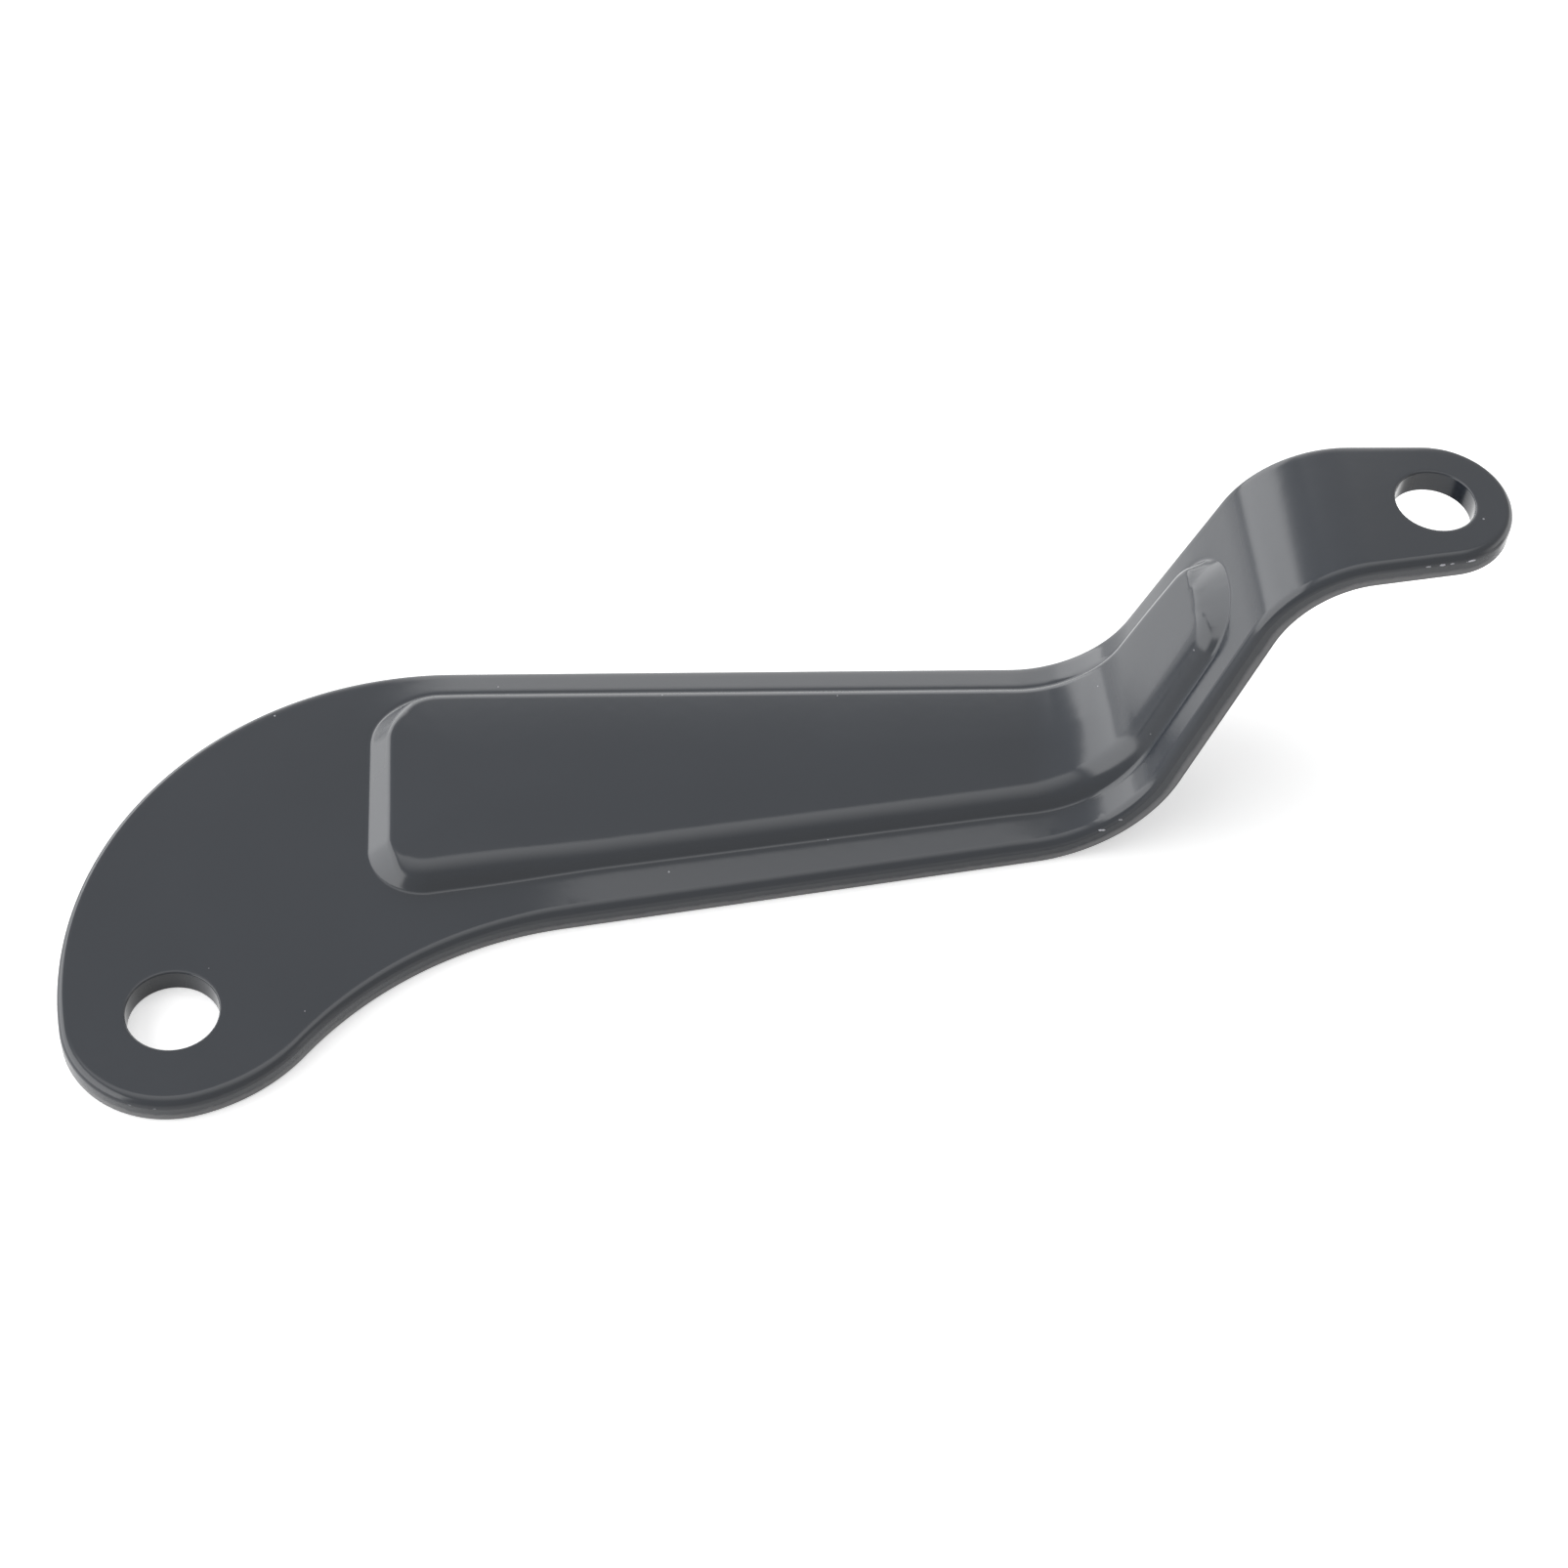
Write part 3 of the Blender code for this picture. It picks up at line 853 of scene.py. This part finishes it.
paint(sheet.materials[0], PAINT_COLOUR, roughness=0.16, peel_depth=0.006 * MM, wave_length=1.6)
print("face paint:", [round(part, 3) for part in PAINT_COLOUR[:3]])

# %% [markdown]
# On the torn edge the paint lies thinner and duller. It is the same recipe with
# other values. Below the burnished zone the gloss goes and the colour turns paler.
# The torn steel there is really rougher, but the paler grey is also a painted
# reflection of the bright floor that the edge mirrors. So that zone's mask, read
# from the depth in the sheet, is laid over both.

# %% Paint on the torn edge
EDGE_COLOUR = (0.036, 0.040, 0.046, 1.0)
TORN_GREY_AND_PAINTED_REFLECTION = (0.17, 0.17, 0.175, 1.0)
TORN_ROUGHNESS = 0.45
BURNISHED_SHARE = 0.62
RAGGEDNESS = 0.16


def torn_zone_and_painted_reflection(tree):
    """1 below the burnished zone and 0 in it, with a ragged line between."""
    depth = place(tree, "ShaderNodeAttribute", {"attribute_name": "depth"}).outputs["Fac"]
    where = millimetres(tree)
    ragged = place(tree, "ShaderNodeTexNoise", Vector=where, Scale=0.6, Detail=4.0).outputs["Fac"]
    line = maths(tree, "MULTIPLY_ADD", ragged, RAGGEDNESS, depth)
    below = maths(tree, "SUBTRACT", line, BURNISHED_SHARE + RAGGEDNESS / 2)
    return maths(tree, "MULTIPLY", below, 7.0, clamped=True)


def lay_over(tree, socket, mask, value):
    """Mixes a value into what already feeds a socket, where the mask is white."""
    before = socket.links[0].from_socket
    if socket.type == "RGBA":
        tree.links.new(mixed(tree, mask, before, value), socket)
    else:
        tree.links.new(place(tree, "ShaderNodeMix", i0=mask, i2=before, i3=value).outputs[0], socket)


edge_material = sheet.materials[1]
paint(edge_material, EDGE_COLOUR, roughness=0.24, peel_depth=0.015 * MM, wave_length=0.5)
edge_tree = edge_material.node_tree
edge_shader = edge_tree.nodes["Principled BSDF"]
torn_and_reflection_mask = torn_zone_and_painted_reflection(edge_tree)
# The paler grey below the burnished zone is partly a painted reflection of the floor; the roughness there is
# the torn steel's own.
lay_over(edge_tree, edge_shader.inputs["Base Color"], torn_and_reflection_mask, TORN_GREY_AND_PAINTED_REFLECTION)
lay_over(edge_tree, edge_shader.inputs["Roughness"], torn_and_reflection_mask, TORN_ROUGHNESS)
print("torn edge paint:", [round(part, 3) for part in TORN_GREY_AND_PAINTED_REFLECTION[:3]])

# %% [markdown]
# The studio is a white room. The floor is a plain white sheet that ends just
# before the lamps, so that no part of it lies in the dark behind them. The world
# gives only a little light itself, but it is white where the camera or a
# reflection sees it. The floor shines a little for them too. The camera sees it
# shine evenly, and the paint mirrors a glow in front of the bracket and a pool of
# it close behind. Along the bracket that mirrored glow is left out and fades back
# in on both sides, so the paint mirrors a darker floor there: a painted contact
# shadow. From below the floor can't be seen at all, so that the underside
# can be looked at too.

# %% Floor and world
FLOOR_SIZE = 1.9
UNDER_THE_BRACKET = 0.02 * MM
FLOOR_COLOUR = (0.93, 0.93, 0.93, 1)
FLOOR_GLOW = 0.5
POOL_GLOW = 0.95
SHADOW_TO_FRONT_GLOW = (0.02, -0.02)
SHADOW_TO_POOL = (0.022, 0.042)
POOL_FAR = (0.32, 0.12)
FILL = 0.12
X, Y, Z = range(3)


def seen(tree, *rays):
    """1 for what any of these kinds of ray sees, and 0 for the light given."""
    path = place(tree, "ShaderNodeLightPath")
    either = 0.0
    for ray in rays:
        either = maths(tree, "MAXIMUM", path.outputs[ray], either)
    return either


def ramp_along(tree, axis, start, full):
    """A smooth rise from 0 to 1 between two places on an axis of the room."""
    position = place(tree, "ShaderNodeNewGeometry").outputs["Position"]
    value = place(tree, "ShaderNodeSeparateXYZ", Vector=position).outputs[axis]
    ramp = {"interpolation_type": "SMOOTHSTEP"}
    risen = place(tree, "ShaderNodeMapRange", ramp, Value=value, From_Min=start, From_Max=full)
    return risen.outputs[0]


floor_mesh = bpy.data.meshes.new("studio_floor")
half = FLOOR_SIZE / 2
level = ground - UNDER_THE_BRACKET
corners = [(-half, -half, level), (half, -half, level), (half, half, level), (-half, half, level)]
floor_mesh.from_pydata(corners, [], [(0, 1, 2, 3)])
floor = bpy.data.objects.new("studio_floor", floor_mesh)
bpy.context.scene.collection.objects.link(floor)
white = bpy.data.materials.new("white_floor")
white.use_nodes = True
card = white.node_tree.nodes["Principled BSDF"]
card.inputs["Base Color"].default_value = FLOOR_COLOUR
card.inputs["Roughness"].default_value = 0.9
card.inputs["Specular IOR Level"].default_value = 0.0
card.inputs["Emission Color"].default_value = (1, 1, 1, 1)
card_tree = white.node_tree
# The mirrored glow fades out towards the bracket from the front and from behind: a painted contact shadow in
# what the paint mirrors.
in_front = maths(card_tree, "MULTIPLY", ramp_along(card_tree, Y, *SHADOW_TO_FRONT_GLOW), FLOOR_GLOW)
pool_past_painted_shadow = ramp_along(card_tree, Y, *SHADOW_TO_POOL)
pool = maths(card_tree, "MULTIPLY", pool_past_painted_shadow, ramp_along(card_tree, Y, *POOL_FAR))
mirrored = maths(card_tree, "MULTIPLY_ADD", pool, POOL_GLOW, in_front)
mirrored = maths(card_tree, "MULTIPLY", mirrored, seen(card_tree, "Is Glossy Ray"))
to_camera = seen(card_tree, "Is Camera Ray", "Is Transmission Ray")
glow = maths(card_tree, "MULTIPLY_ADD", to_camera, FLOOR_GLOW, mirrored)
card_tree.links.new(glow, card.inputs["Emission Strength"])
from_below = place(card_tree, "ShaderNodeNewGeometry").outputs["Backfacing"]
card_tree.links.new(maths(card_tree, "SUBTRACT", 1.0, from_below), card.inputs["Alpha"])
floor_mesh.materials.append(white)

world = bpy.data.worlds.new("white_room")
bpy.context.scene.world = world
world.use_nodes = True
room = world.node_tree
white_to = seen(room, "Is Camera Ray", "Is Glossy Ray", "Is Transmission Ray")
strength = maths(room, "MULTIPLY_ADD", white_to, 1.0 - FILL, FILL)
room.links.new(strength, room.nodes["Background"].inputs["Strength"])
room.nodes["Background"].inputs["Color"].default_value = (1, 1, 1, 1)
print(f"floor {FLOOR_SIZE} m square, world fill {FILL}")

# %% [markdown]
# Five softboxes light the bracket. Two stand behind it like a lit wall, which the
# far parts of the paint mirror as bright bands. One stands on the left, for the
# end wall of the panel beside the pad, a weak one on the right shows the rim of
# the lug, and one hangs overhead for the shoulders and the leaning flanges. Their
# brightness is set by the light that leaves each square metre, so that moving or
# resizing a lamp doesn't change how bright it looks in the paint.

# %% Softboxes
def soften(lamp, edges):
    """Lets a softbox fade. An edge is an axis, where the light ends on it and where it is full."""
    lamp.use_nodes = True
    fade = 1.0
    for axis, end, full in edges:
        fade = maths(lamp.node_tree, "MULTIPLY", ramp_along(lamp.node_tree, axis, end, full), fade)
    lamp.node_tree.links.new(fade, lamp.node_tree.nodes["Emission"].inputs["Strength"])


def softbox(name, middle, toward, width, height, brightness, edges):
    """A lamp that shines from its middle toward a point and fades along its edges."""
    lamp = bpy.data.lights.new(name, "AREA")
    lamp.shape = "RECTANGLE"
    lamp.size = width
    lamp.size_y = height
    lamp.energy = brightness * math.pi * width * height
    soften(lamp, edges)
    holder = bpy.data.objects.new(name, lamp)
    holder.location = middle
    holder.rotation_euler = (Vector(toward) - Vector(middle)).to_track_quat("-Z", "Y").to_euler()
    holder.visible_camera = False
    bpy.context.scene.collection.objects.link(holder)
    print(f"{name}: {width} x {height} m, brightness {brightness}")


def standing(name, foot, toward, width, top, brightness, edges):
    """A softbox that stands on the floor and shines level."""
    softbox(name, (*foot, top / 2), (*toward, top / 2), width, top, brightness, edges)


BACK_TOP = 1.05
BACK_LEFT_TOP = 0.74
LEFT_TOP = 1.5
RIGHT_TOP = 0.7
standing("lit_wall", (0.05, 1.0), (0.05, 0), 0.8, BACK_TOP, 2.2, [(Z, BACK_TOP, 0.7)])
left_edges = [(Z, BACK_LEFT_TOP, 0.71)]
standing("lit_wall_left", (-0.67, 1.0), (-0.67, 0), 0.64, BACK_LEFT_TOP, 3.15, left_edges)
left_edges = [(Z, LEFT_TOP, 1.15), (Y, -1.3, -0.9)]
standing("left_softbox", (-1.0, -0.15), (0, -0.15), 2.3, LEFT_TOP, 2.8, left_edges)
right_edges = [(Z, RIGHT_TOP, 0.3), (Y, -0.6, 0.0)]
standing("right_softbox", (1.0, 0.2), (0, 0.2), 1.6, RIGHT_TOP, 1.5, right_edges)
above_edges = [(X, -0.8, -0.5), (X, 0.8, 0.5), (Y, -0.8, 0.5), (Y, 0.73, 0.58)]
softbox("overhead", (0, 0.025, 1.2), (0, 0.025, 0), 1.6, 1.65, 1.5, above_edges)

# %% [markdown]
# The camera stands in front of the bracket and well above it, a little to the
# left, and is tipped slightly to one side. It is built from its angles: where it
# looks from, how far away it is, and the roll about its own line of sight.

# %% Camera
CAMERA_AZIMUTH = math.radians(-8.395)
CAMERA_ELEVATION = math.radians(50.53)
CAMERA_ROLL = math.radians(-5.792)
CAMERA_AIM = Vector((-1.32, -2.57, 19.41)) * MM
CAMERA_DISTANCE = 294.19 * MM

backward = Vector(
    (
        math.sin(CAMERA_AZIMUTH) * math.cos(CAMERA_ELEVATION),
        -math.cos(CAMERA_AZIMUTH) * math.cos(CAMERA_ELEVATION),
        math.sin(CAMERA_ELEVATION),
    )
)
level_right = Vector((0, 0, 1)).cross(backward).normalized()
level_up = backward.cross(level_right)
right = math.cos(CAMERA_ROLL) * level_right - math.sin(CAMERA_ROLL) * level_up
up = math.sin(CAMERA_ROLL) * level_right + math.cos(CAMERA_ROLL) * level_up
turn = Matrix((right, up, backward)).transposed().to_4x4()
camera_data = bpy.data.cameras.new("camera")
camera_data.lens = 70.0
camera_data.sensor_width = 36.0
camera_data.clip_start = 0.01
camera = bpy.data.objects.new("camera", camera_data)
camera.matrix_world = Matrix.Translation(CAMERA_AIM + backward * CAMERA_DISTANCE) @ turn
bpy.context.scene.collection.objects.link(camera)
bpy.context.scene.camera = camera
bpy.context.scene.view_settings.view_transform = "Standard"
print(f"camera {CAMERA_DISTANCE:.3f} m away, {camera_data.lens:.0f} mm lens")
